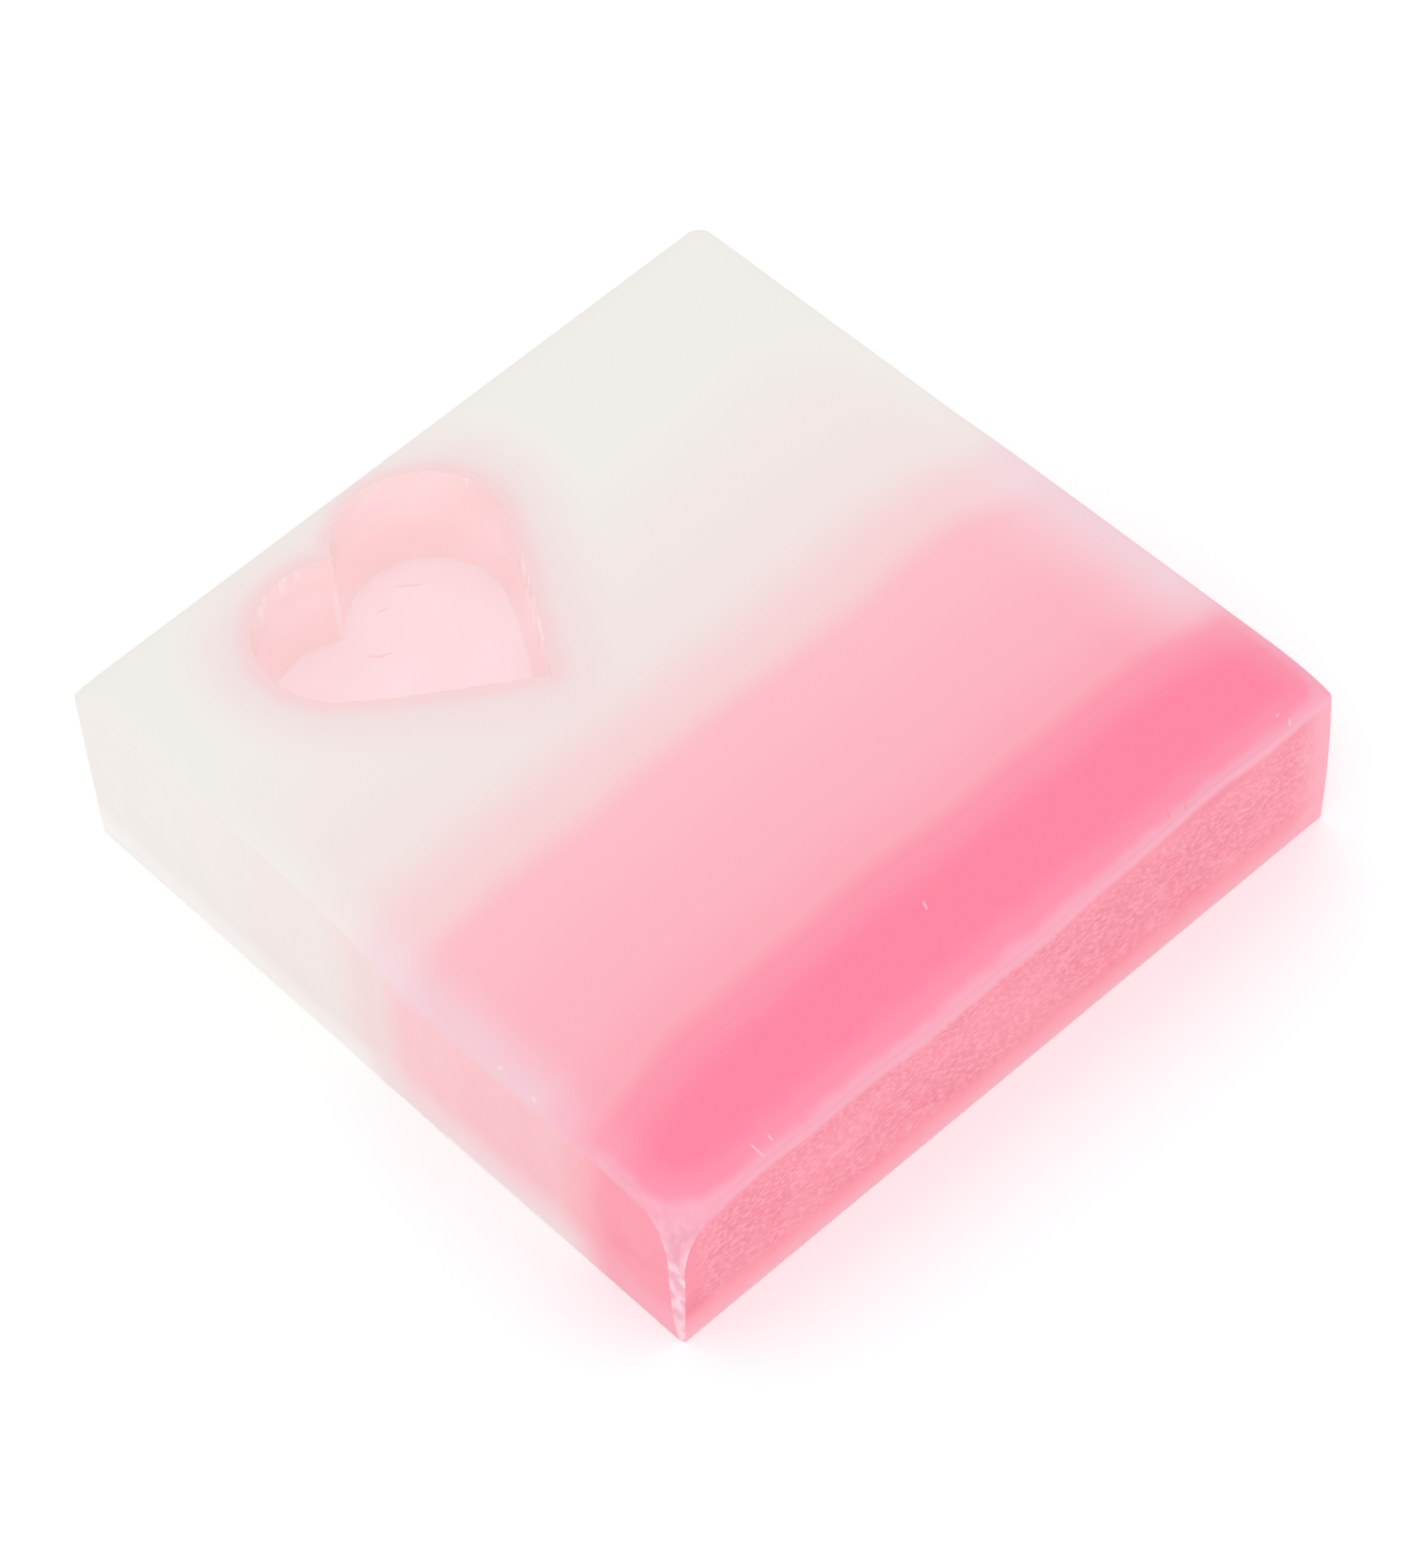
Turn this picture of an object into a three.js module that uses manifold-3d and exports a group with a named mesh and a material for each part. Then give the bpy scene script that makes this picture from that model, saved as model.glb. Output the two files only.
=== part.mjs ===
// A slice of layered melt-and-pour soap, cut across the loaf that it was poured in.
// Three pours lie on each other, deep pink, light pink and white, and a heart-shaped
// column of clear tinted soap runs through the white one from face to face.
//
// Millimetres. The slice lies on one of its two cut faces. The origin is the middle of
// the underside and +Z points up. +Y runs up the loaf, from the first pour (deep pink)
// to the last one (white), and +X runs across the loaf.

import * as THREE from 'three';
import { mergeVertices } from 'three/addons/utils/BufferGeometryUtils.js';
import Module from 'manifold-3d';

// Driving dimensions: the slice

const sliceThickness = 18.8;    // spacing of the two cuts
const loafWidth = 76.4;         // across the loaf at its deep pink end
const mouldDraft = 1.2;         // each side of the loaf comes in by this at its white end
const deepPinkHeight = 13.6;    // first pour
const lightPinkHeight = 24.8;   // second pour
const whiteHeight = 38.4;       // last pour, which holds the heart
const endLean = 0.88;           // each poured end comes in by this at the underside

// Driving dimensions: edges and corners

const rimSoftening = 0.7;       // rounded edge around the upper cut face
const cornerRounding = 1.5;     // the loaf's four corners
const rimSteps = 3;
const cornerSteps = 5;

// Driving dimensions: the heart

const heartWidth = 27.4;        // over both lobes
const heartHeight = 26.0;       // from the lobes' tops to the tip
const lobeOverlap = 4.4;        // how far the two lobes' circles run into each other
const flankAngle = THREE.MathUtils.degToRad(-25);   // where a lobe hands over to its flank
const flankBelly = 3.3;         // how far the flank keeps the lobe's direction
const heartTilt = THREE.MathUtils.degToRad(11.5);
const heartTaper = 0.06;        // share of its size that the column loses at the underside
const heartEndMargin = 1.55;    // from the highest lobe to the white end
const heartSideMargin = 12.7;   // from the left lobe to the side of the loaf
const heartSteps = 20;

// Driving dimensions: joins. The pieces are cast onto each other, and the model keeps this
// gap between them.

const castGap = 0.3;

// Derived places along the loaf

const loafHeight = deepPinkHeight + lightPinkHeight + whiteHeight;
const deepEnd = -loafHeight / 2;
const whiteEnd = loafHeight / 2;
const deepToLight = deepEnd + deepPinkHeight;
const lightToWhite = deepToLight + lightPinkHeight;

const wasm = await Module();
wasm.setup();

// Solid from a closed three.js geometry.
function solid(geometry) {
  const bare = geometry.index ? geometry.toNonIndexed() : geometry.clone();
  bare.deleteAttribute('normal');
  bare.deleteAttribute('uv');
  const merged = mergeVertices(bare, 1e-4);
  return new wasm.Manifold(new wasm.Mesh({
    numProp: 3,
    vertProperties: new Float32Array(merged.attributes.position.array),
    triVerts: new Uint32Array(merged.index.array),
  }));
}

// Three.js geometry from a solid.
function geometryOf(body) {
  const mesh = body.getMesh();
  const geometry = new THREE.BufferGeometry();
  geometry.setAttribute('position', new THREE.BufferAttribute(mesh.vertProperties, 3));
  geometry.setIndex(new THREE.BufferAttribute(mesh.triVerts, 1));
  geometry.computeVertexNormals();
  return geometry;
}

// The loaf's section across the pours: a trapezium with rounded corners, drawn `inset`
// inside its real outline.
function loafSection(inset) {
  const deepHalf = loafWidth / 2 - inset;
  const whiteHalf = loafWidth / 2 - mouldDraft - inset;
  const corners = [
    new THREE.Vector2(-deepHalf, deepEnd + inset),
    new THREE.Vector2(deepHalf, deepEnd + inset),
    new THREE.Vector2(whiteHalf, whiteEnd - inset),
    new THREE.Vector2(-whiteHalf, whiteEnd - inset),
  ];
  const radius = cornerRounding - inset;
  const shape = new THREE.Shape();
  corners.forEach((corner, index) => {
    const before = corners[(index + 3) % 4].clone().sub(corner).setLength(radius).add(corner);
    const after = corners[(index + 1) % 4].clone().sub(corner).setLength(radius).add(corner);
    if (index === 0) {
      shape.moveTo(before.x, before.y);
    } else {
      shape.lineTo(before.x, before.y);
    }
    shape.quadraticCurveTo(corner.x, corner.y, after.x, after.y);
  });
  shape.closePath();
  return shape;
}

// The whole slice as one body: a softened rim above, a sharp cut edge below, and poured
// ends that lean in towards the underside.
function sliceBody() {
  const geometry = new THREE.ExtrudeGeometry(loafSection(rimSoftening), {
    depth: sliceThickness,
    curveSegments: cornerSteps,
    bevelThickness: rimSoftening,
    bevelSize: rimSoftening,
    bevelSegments: rimSteps,
  });
  geometry.translate(0, 0, -rimSoftening);
  const aboveTable = new THREE.BoxGeometry(2 * loafWidth, 2 * loafHeight, sliceThickness);
  aboveTable.translate(0, 0, sliceThickness / 2);
  const upright = geometryOf(solid(geometry).intersect(solid(aboveTable)));
  const place = upright.attributes.position;
  for (let i = 0; i < place.count; i += 1) {
    const depthShare = 1 - place.getZ(i) / sliceThickness;
    place.setY(i, place.getY(i) * (1 - depthShare * endLean / whiteEnd));
  }
  return solid(upright);
}

// The part of the slice between two heights of the loaf.
function pour(body, low, high) {
  const geometry = new THREE.BoxGeometry(2 * loafWidth, high - low, 4 * sliceThickness);
  geometry.translate(0, (low + high) / 2, 0);
  return body.intersect(solid(geometry));
}

// The heart's outline about the middle of its two lobes, drawn `grow` outside its size.
function heartOutline(grow) {
  const lobe = (heartWidth + lobeOverlap) / 4;
  const lobeCentre = heartWidth / 2 - lobe;
  const reach = lobe + grow;
  const cleftAngle = Math.acos(-lobeCentre / reach);

  const lobeSide = new THREE.Vector2(Math.cos(flankAngle), Math.sin(flankAngle));
  const along = new THREE.Vector2(lobeSide.y, -lobeSide.x);
  const start = lobeSide.clone().multiplyScalar(lobe).add(new THREE.Vector2(lobeCentre, 0));
  const belly = along.multiplyScalar(flankBelly).add(start);
  const tip = new THREE.Vector2(0, lobe - heartHeight);
  const tipRun = tip.clone().sub(belly).normalize();
  const tipSide = new THREE.Vector2(-tipRun.y, tipRun.x);
  const mitre = lobeSide.clone().add(tipSide).multiplyScalar(grow / (1 + lobeSide.dot(tipSide)));
  belly.add(mitre);
  start.addScaledVector(lobeSide, grow);
  tip.y += grow / tipSide.y;

  const shape = new THREE.Shape();
  shape.moveTo(0, reach * Math.sin(cleftAngle));
  shape.absarc(lobeCentre, 0, reach, cleftAngle, flankAngle, true);
  shape.quadraticCurveTo(belly.x, belly.y, tip.x, tip.y);
  shape.quadraticCurveTo(-belly.x, belly.y, -start.x, start.y);
  shape.absarc(-lobeCentre, 0, reach, Math.PI - flankAngle, Math.PI - cleftAngle, true);
  return shape;
}

// Where the heart's lobes go: held off the white end and the loaf's left side.
function heartPlace() {
  const middle = new THREE.Vector2();
  const outline = heartOutline(0).getPoints(heartSteps);
  const turned = outline.map((point) => point.clone().rotateAround(middle, heartTilt));
  const top = Math.max(...turned.map((point) => point.y));
  const left = Math.min(...turned.map((point) => point.x));
  const whiteSide = loafWidth / 2 - mouldDraft;
  return new THREE.Vector2(heartSideMargin - whiteSide - left, whiteEnd - heartEndMargin - top);
}

// The heart's column, narrowing downwards. It runs past both cut faces by `overshoot`.
function heartColumn(grow, overshoot) {
  const geometry = new THREE.ExtrudeGeometry(heartOutline(grow), {
    depth: sliceThickness + 2 * overshoot,
    curveSegments: heartSteps,
    bevelEnabled: false,
  });
  geometry.translate(0, 0, -overshoot);
  const place = geometry.attributes.position;
  for (let i = 0; i < place.count; i += 1) {
    const size = 1 - heartTaper * (1 - place.getZ(i) / sliceThickness);
    place.setX(i, place.getX(i) * size);
    place.setY(i, place.getY(i) * size);
  }
  const middle = heartPlace();
  geometry.rotateZ(heartTilt);
  geometry.translate(middle.x, middle.y, 0);
  return solid(geometry);
}

function piece(name, body, colour, roughness) {
  const material = new THREE.MeshStandardMaterial({ color: colour, roughness, metalness: 0 });
  const mesh = new THREE.Mesh(geometryOf(body), material);
  mesh.name = name;
  return mesh;
}

const slice = sliceBody();
const halfGap = castGap / 2;
const overshoot = 2;

const deepPinkLayer = pour(slice, deepEnd - overshoot, deepToLight - halfGap);
const lightPinkLayer = pour(slice, deepToLight + halfGap, lightToWhite - halfGap);
const whiteLayer = pour(slice, lightToWhite + halfGap, whiteEnd + overshoot)
  .subtract(heartColumn(castGap, overshoot));
const heartEmbed = heartColumn(0, 0);

const soapSlice = new THREE.Group();
soapSlice.add(piece('white_layer', whiteLayer, 0xf1efea, 0.42));
soapSlice.add(piece('light_pink_layer', lightPinkLayer, 0xffb6c3, 0.42));
soapSlice.add(piece('deep_pink_layer', deepPinkLayer, 0xff8aa6, 0.45));
soapSlice.add(piece('heart_embed', heartEmbed, 0xf9c6cb, 0.2));

export default soapSlice;
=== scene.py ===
# %% [markdown]
# # A slice of layered soap with a clear heart
#
# This lesson finishes a slice of melt-and-pour soap. The slice was cut across a loaf that
# was poured in three goes: deep pink first, then light pink, then white. A heart-shaped
# rod of clear pink soap was laid in the white pour, so every slice shows a heart.
#
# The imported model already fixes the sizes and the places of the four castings. What it
# lacks is everything that makes soap look like soap: soft blends between the pours, edges
# that were planed by hand, a wrinkled end, and a heart that one can look into.

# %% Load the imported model
import math

import bpy
import numpy as np
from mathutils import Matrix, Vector, geometry, noise


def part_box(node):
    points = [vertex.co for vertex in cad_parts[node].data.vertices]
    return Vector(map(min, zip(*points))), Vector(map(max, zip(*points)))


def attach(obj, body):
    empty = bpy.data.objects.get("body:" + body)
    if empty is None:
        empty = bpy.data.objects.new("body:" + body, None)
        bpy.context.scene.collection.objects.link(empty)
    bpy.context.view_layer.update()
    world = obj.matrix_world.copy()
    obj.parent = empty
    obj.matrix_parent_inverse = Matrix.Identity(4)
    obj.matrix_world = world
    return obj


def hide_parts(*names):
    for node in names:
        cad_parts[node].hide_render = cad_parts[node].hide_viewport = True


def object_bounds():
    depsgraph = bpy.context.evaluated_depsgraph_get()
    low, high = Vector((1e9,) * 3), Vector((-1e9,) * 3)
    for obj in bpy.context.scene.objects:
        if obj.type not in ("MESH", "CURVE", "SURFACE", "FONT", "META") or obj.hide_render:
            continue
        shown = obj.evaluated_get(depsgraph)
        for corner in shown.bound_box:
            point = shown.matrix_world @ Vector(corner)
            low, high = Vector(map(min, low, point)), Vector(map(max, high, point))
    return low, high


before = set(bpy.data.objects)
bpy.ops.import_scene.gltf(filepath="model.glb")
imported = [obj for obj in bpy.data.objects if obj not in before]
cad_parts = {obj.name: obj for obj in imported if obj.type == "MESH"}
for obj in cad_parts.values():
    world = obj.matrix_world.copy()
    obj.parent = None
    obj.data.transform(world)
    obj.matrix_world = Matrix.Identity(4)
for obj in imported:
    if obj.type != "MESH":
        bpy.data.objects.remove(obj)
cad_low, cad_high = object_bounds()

print("castings:", sorted(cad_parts))
print("slice size in mm:", [round(1000 * side, 2) for side in cad_high - cad_low])

# %% [markdown]
# ## Measure the slice
#
# Every size here comes from the boxes of the castings, in millimetres, because soap is
# made and cut in millimetres. X runs across the loaf, Y runs up the loaf from the deep
# pink end to the white end, and Z is the slice's thickness. The loaf narrows a little
# towards the white end, because its mould has draft.

# %% Sizes of the castings
MM = 0.001


def casting_box(node):
    low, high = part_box(node)
    return low / MM, high / MM


deep_low, deep_high = casting_box("deep_pink_layer")
light_low, light_high = casting_box("light_pink_layer")
white_low, white_high = casting_box("white_layer")
heart_low, heart_high = casting_box("heart_embed")

thickness = white_high.z
deep_end = deep_low.y
white_end = white_high.y
deep_join = (deep_high.y + light_low.y) / 2
white_join = (light_high.y + white_low.y) / 2
deep_half = deep_high.x
draft = (deep_half - white_high.x) / (white_join - deep_end)

print("joins between the pours at y =", round(deep_join, 2), "and", round(white_join, 2))
print("the loaf narrows by", round(draft, 4), "mm per mm on each side")

# %% [markdown]
# ## The heart's outline
#
# A heart is two round lobes that run into each other, and two flanks that run from them to
# the tip. Written as arcs and two gently bent curves, it needs only a handful of sizes.
# The outline is turned, and then moved until it touches the box of the heart's casting.

# %% Draw the heart
heart_width = 27.4
heart_height = 26.0
lobe_overlap = 4.4
lobe_radius = (heart_width + lobe_overlap) / 4
lobe_centre = heart_width / 2 - lobe_radius
flank_start = math.radians(-25)
flank_belly = 3.3
heart_tilt = math.radians(11.5)
heart_taper = 0.06


def heart_outline(steps):
    """Points round the heart, clockwise from the cleft, about the middle of its lobes."""
    cleft = math.acos(-lobe_centre / lobe_radius)
    angles = np.linspace(cleft, flank_start, steps)
    lobe = np.c_[lobe_centre + lobe_radius * np.cos(angles), lobe_radius * np.sin(angles)]
    run = np.array([math.sin(flank_start), -math.cos(flank_start)])
    belly = lobe[-1] + flank_belly * run
    tip = np.array([0.0, lobe_radius - heart_height])
    share = np.linspace(0, 1, steps)[1:, None]
    flank = (1 - share) ** 2 * lobe[-1] + 2 * share * (1 - share) * belly + share ** 2 * tip
    right = np.vstack([lobe, flank])
    left = right[-2:0:-1] * [-1, 1]
    return np.vstack([right, left])


def turned(points, angle):
    cosine, sine = math.cos(angle), math.sin(angle)
    return points @ np.array([[cosine, sine], [-sine, cosine]])


drawn = turned(heart_outline(60), heart_tilt)
heart_place = np.array([heart_low.x - drawn[:, 0].min(), heart_high.y - drawn[:, 1].max()])


def heart_section(z, steps, grow=0.0):
    """The heart's outline at height z, moved outwards by grow."""
    size = 1 - heart_taper * (1 - z / thickness)
    outline = heart_outline(steps) * size
    if grow:
        before, after = np.roll(outline, 1, 0), np.roll(outline, -1, 0)
        along = after - before
        along /= np.linalg.norm(along, axis=1)[:, None]
        outline = outline + grow * np.c_[-along[:, 1], along[:, 0]]
    return turned(outline, heart_tilt) + heart_place


def heart_distance(points):
    """How far points (x, y, z) lie outside the heart's section, negative inside."""
    size = 1 - heart_taper * (1 - points[:, 2] / thickness)
    flat = turned(points[:, :2] - heart_place, -heart_tilt) / size[:, None]
    outline = heart_outline(40)
    nearest = np.full(len(flat), 1e9)
    crossings = np.zeros(len(flat), int)
    for start, end in zip(outline, np.roll(outline, -1, 0)):
        side = end - start
        share = np.clip((flat - start) @ side / (side @ side), 0, 1)
        gap = flat - start - share[:, None] * side
        nearest = np.minimum(nearest, np.hypot(gap[:, 0], gap[:, 1]))
        straddles = (start[1] > flat[:, 1]) != (end[1] > flat[:, 1])
        if side[1]:
            reach = start[0] + (flat[:, 1] - start[1]) * side[0] / side[1]
            crossings += straddles & (flat[:, 0] < reach)
    return np.where(crossings % 2 == 1, -nearest, nearest) * size


print("heart at", heart_place.round(2), "mm, lobe radius", round(lobe_radius, 2))

# %% [markdown]
# ## The shape of a hand-finished slice
#
# A cast and cut block is almost a box, and what makes it look real is how its faces meet.
# The upper edges were planed by hand: the top rolls off over a few millimetres and ends in
# a crisp crest. The front corner lost a long, thin sliver that widens upwards. The poured
# ends lean in, the left side bellies out a little, and the deep pink end is wrinkled.
#
# Each face is written as a distance: how far a point lies outside that face. The largest
# of these distances says how far a point lies outside the whole slice, and two of them can
# be joined with a round edge. Any mesh can then be pulled onto this shape.

# %% Faces as distances
end_lean = 0.88
belly_out = 0.3
chip_foot = 0.36
chip_on_wall = 1.45
chip_rise = 4.5
chip_on_end = 0.0285
chip_from = 10


def fade(value, start, end):
    """0 before start and 1 after end, with a soft change in between."""
    share = np.clip((value - start) / (end - start), 0, 1)
    return share * share * (3 - 2 * share)


def wave(points, size, seed):
    """Smooth noise from about -1 to 1, with bumps of about `size` mm in x, y and z."""
    shift = Vector((seed, 2.3 * seed, -1.7 * seed))
    scaled = points / np.asarray(size, float)
    return np.array([noise.noise(Vector(point) + shift) for point in scaled])


def half_width(y):
    return deep_half - draft * (y - deep_end)


def top_height(points):
    """Height of the planed upper face."""
    x, y = points[:, 0], points[:, 1]
    pink = 1 - fade(y, white_join - 4, white_join + 6)
    from_west = x + half_width(y)
    from_east = half_width(y) - x
    from_south = y - deep_end
    from_north = white_end - y
    ripple = 0.22 * np.sin(x / 5.3 + 0.6) + 0.16 * np.sin(x / 2.1)
    south_drop = 1.2 + 1.0 * np.exp(-((x + 9) / 13) ** 2) - 0.5 * fade(x, 2, 30)
    south_drop = south_drop + ripple * (1 - fade(from_south, 0, 4))
    west_drop = 0.2 + (1.4 + 0.6 * np.exp(-((y + 5) / 6) ** 2) - 0.5 * fade(-y, 24, 34)) * pink
    west_drop = west_drop + 0.12 * np.sin(y / 4.1)
    drop = np.zeros(len(points))
    for inside, depth, reach in (
        (from_south, south_drop, 4.2),
        (from_west, west_drop, 4.0),
        (from_east, 0.12, 2.0),
        (from_north, 0.2, 2.0),
    ):
        drop = drop + depth * np.clip(1 - inside / reach, 0, 1) ** 2
    near_corner = np.clip(1 - np.hypot(from_west, from_south) / 11, 0, 1)
    return thickness - drop - 1.2 * near_corner ** 1.5


def chip_reach(z):
    """How far the sliver reaches along the end face and along the side wall at height z."""
    on_end = 0.12 + chip_on_end * np.maximum(z - chip_from, 0) ** 2.5
    on_wall = chip_foot + chip_on_wall * (1 - np.exp(-np.maximum(z, 0) / chip_rise)) + 0.85 * on_end
    return on_end, on_wall


def slice_faces(points, wrinkle=0.0):
    """Distances outside the top, the two sides, the two ends, the chip and the underside."""
    x, y, z = points.T
    up = z / thickness
    along = (y - deep_end) / (white_end - deep_end)
    lean = end_lean * (1 - up)
    belly = belly_out * np.sin(np.pi * np.clip(along, 0, 1)) * np.sin(np.pi * np.clip(0.8 * up + 0.2, 0, 1))
    top = z - top_height(points)
    west = -x - half_width(y) - belly
    east = x - half_width(y) - 0.5 * belly
    south = deep_end + lean - y + wrinkle - 0.25 * np.sin(np.pi * np.clip(up, 0, 1))
    north = y - white_end + lean
    chip_x, chip_y = chip_reach(z)
    chip = (west * chip_y + south * chip_x + chip_x * chip_y) / np.hypot(chip_x, chip_y)
    return top, west, east, south, north, chip, -z


def rounded(first, second, radius):
    """Distance outside two faces that meet in an edge of this radius."""
    inner = np.minimum(np.maximum(first, second), -radius)
    return inner + np.hypot(np.maximum(first + radius, 0), np.maximum(second + radius, 0))


def outside(points, wrinkle=0.0):
    """Distance outside the whole slice."""
    top, west, east, south, north, chip, under = slice_faces(points, wrinkle)
    x, y = points[:, 0], points[:, 1]
    radius = np.where(x < 0, np.where(y < 0, 0.1, 0.35), np.where(y < 0, 0.35, 1.6))
    sides = rounded(np.maximum(west, east), np.maximum(south, north), radius)
    sides = rounded(sides, chip, 0.12)
    near_chip = 1 - fade(np.hypot(x + deep_half, y - deep_end), 4.5, 7.5)
    near_east = 1 - fade(np.hypot(deep_half - x, y - deep_end), 2.0, 7.0)
    crest = 0.14 + 0.35 * fade(y, white_join - 2, white_join + 8) + 0.9 * near_chip + 0.4 * near_east
    return rounded(rounded(sides, top, crest), under, 0.08)


def pull_onto_slice(points, wrinkle=0.0, held_in_y=None):
    """Move points along the steepest way until they lie on the slice's surface."""
    step = 0.01
    points = points.copy()
    for _ in range(8):
        gap = outside(points, wrinkle)
        slope = np.zeros_like(points)
        for axis in range(3):
            nudge = np.zeros(3)
            nudge[axis] = step
            ahead, behind = outside(points + nudge, wrinkle), outside(points - nudge, wrinkle)
            slope[:, axis] = (ahead - behind) / (2 * step)
        if held_in_y is not None:
            slope[held_in_y, 1] = 0
        steep = np.maximum((slope ** 2).sum(1), 0.2)
        points -= (gap / steep)[:, None] * slope
    return points


probe = np.array([[0.0, 0.0, thickness], [-deep_half, -10.0, 9.0], [0.0, deep_end, 9.0]])
print("gaps of three points on the box to the shape:", outside(probe).round(3))

# %% [markdown]
# ## Grids for the pours
#
# Each pour starts as a box of grid lines that are close together where the surface bends,
# at the planed edges and the front corner, and wider apart on the flats. Only the box's
# skin is made. The skin is then pulled onto the slice's shape. A cast join stays flat, and
# two pours share the same grid lines there, so no seam can open between them.

# %% Grid lines
fine_step = 0.3
wide_step = 0.8


def graded(low, high, low_fine, high_fine, fine=fine_step, wide=wide_step):
    """Grid lines from low to high, fine over the given stretches at both ends."""
    lines = [low]
    if low_fine:
        lines += list(np.arange(low + fine, low + low_fine, fine))
    if high_fine:
        tail = list(np.arange(high - fine, high - high_fine, -fine))[::-1]
    else:
        tail = []
    tail.append(high)
    start, end = lines[-1], tail[0]
    count = max(1, round((end - start) / wide))
    lines += list(np.linspace(start, end, count + 1)[1:-1])
    return np.array(lines + tail)


across = graded(-1.0, 1.0, 6 / deep_half, 4 / deep_half, fine_step / deep_half, 0.6 / deep_half)
upward = graded(0.0, 1.0, 1 / thickness, 3.6 / thickness, 0.2 / thickness, 0.32 / thickness)
up_deep = graded(deep_end, deep_join, 6, 0)
up_light = graded(deep_join, white_join, 0, 0)
up_white = graded(white_join, white_end, 0, 4)

print("grid lines across, up the slice and along each pour:",
      len(across), len(upward), [len(lines) for lines in (up_deep, up_light, up_white)])


# %% Skin of a grid box
def box_skin(lines_x, lines_y, lines_z, low_join, high_join, open_caps=False):
    """Vertices and faces of a grid box. A join is one flat face round the box's rim."""
    last_x, last_y, last_z = len(lines_x) - 1, len(lines_y) - 1, len(lines_z) - 1
    number, points, faces = {}, [], []

    def vertex(i, j, k):
        key = (i, j, k)
        if key not in number:
            number[key] = len(points)
            y = lines_y[j]
            points.append((lines_x[i] * half_width(y), y, lines_z[k] * thickness))
        return number[key]

    for i in range(last_x):
        for j in range(last_y):
            if not open_caps:
                corners = (i, j), (i + 1, j), (i + 1, j + 1), (i, j + 1)
                faces.append([vertex(a, b, last_z) for a, b in corners])
                faces.append([vertex(a, b, 0) for a, b in reversed(corners)])
    for k in range(last_z):
        for j in range(last_y):
            corners = (j, k), (j + 1, k), (j + 1, k + 1), (j, k + 1)
            faces.append([vertex(last_x, a, b) for a, b in corners])
            faces.append([vertex(0, a, b) for a, b in reversed(corners)])
        for i in range(last_x):
            corners = (i, k), (i + 1, k), (i + 1, k + 1), (i, k + 1)
            if not low_join:
                faces.append([vertex(a, 0, b) for a, b in corners])
            if not high_join:
                faces.append([vertex(a, last_y, b) for a, b in reversed(corners)])
    rim = [(i, 0) for i in range(last_x)]
    rim += [(last_x, k) for k in range(last_z)]
    rim += [(i, last_z) for i in range(last_x, 0, -1)]
    rim += [(0, k) for k in range(last_z, 0, -1)]
    if low_join:
        faces.append([vertex(a, 0, b) for a, b in rim])
    if high_join:
        faces.append([vertex(a, last_y, b) for a, b in reversed(rim)])
    return np.array(points), faces, number


# %% [markdown]
# ## Wrinkles of the deep pink end
#
# The first pour set against the lining of the mould, and its folds printed a fine, fibrous
# grain that runs across the loaf. The grain fades out where the corners and edges were
# planed, and over a smooth strip along the lower edge. It is real relief here, up to about
# a tenth of a millimetre high, so that it also shows in a plain view of the mesh.

# %% Relief of the end
def end_grain(points):
    """Height of the wrinkles, in mm, for points on the deep pink end."""
    x, z = points[:, 0], points[:, 2]
    long = wave(points, (3.2, 9, 0.62), 3.1)
    short = wave(points, (1.1, 9, 0.33), 8.7)
    broad = wave(points, (9, 9, 4), 5.2)
    field = fade(z, 2.2, 5.0) * (1 - fade(z, thickness - 3.4, thickness - 2.2))
    field *= fade(x, -deep_half + 1.0, -deep_half + 3.0) * (1 - fade(x, deep_half - 3.5, deep_half - 1.2))
    return field * (0.055 * np.abs(long) + 0.05 * short + 0.02 * broad), field


# %% [markdown]
# ## Turn the grids into pieces
#
# The helper below pulls a grid onto the slice, makes the mesh and paints a few distances
# on it: how far each point lies from the planed crests, from the sides, from the chip and
# from the heart, and which face it is on. The soap's colours are mixed from these later,
# which is simpler and finer than working the same distances out again with shader nodes.

# %% Distances to paint on a mesh
def painted_distances(points, relief, field):
    """Distances and faces by name, one value for each point."""
    top, west, east, south, north, chip, _ = slice_faces(points, relief)
    chip_x, chip_y = chip_reach(points[:, 2])
    near_chip = 1 - fade(np.hypot(points[:, 0] + deep_half, points[:, 1] - deep_end), 12, 24)
    soft_sides = rounded(np.maximum(west, east), np.maximum(south, north), 2.5 + 3.5 * near_chip)
    ranked = np.sort(np.stack([np.maximum(top, chip), west, east, south, north]), axis=0)
    outermost = ranked[-1] - 1e-4
    return {
        "crest": -ranked[-2],
        "from_side": -soft_sides,
        "below_top": -top,
        "on_wall": (np.maximum(west, east) > outermost).astype(float),
        "on_end": (np.maximum(south, north) > outermost).astype(float),
        "chip_on_end": west + chip_x,
        "chip_on_wall": south + chip_y,
        "grain_field": field,
        "from_heart": heart_distance(points),
        "from_east": -east,
    }


# %% Mesh helper
crisp_angle = 40
passage_depth = 0.6


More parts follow.
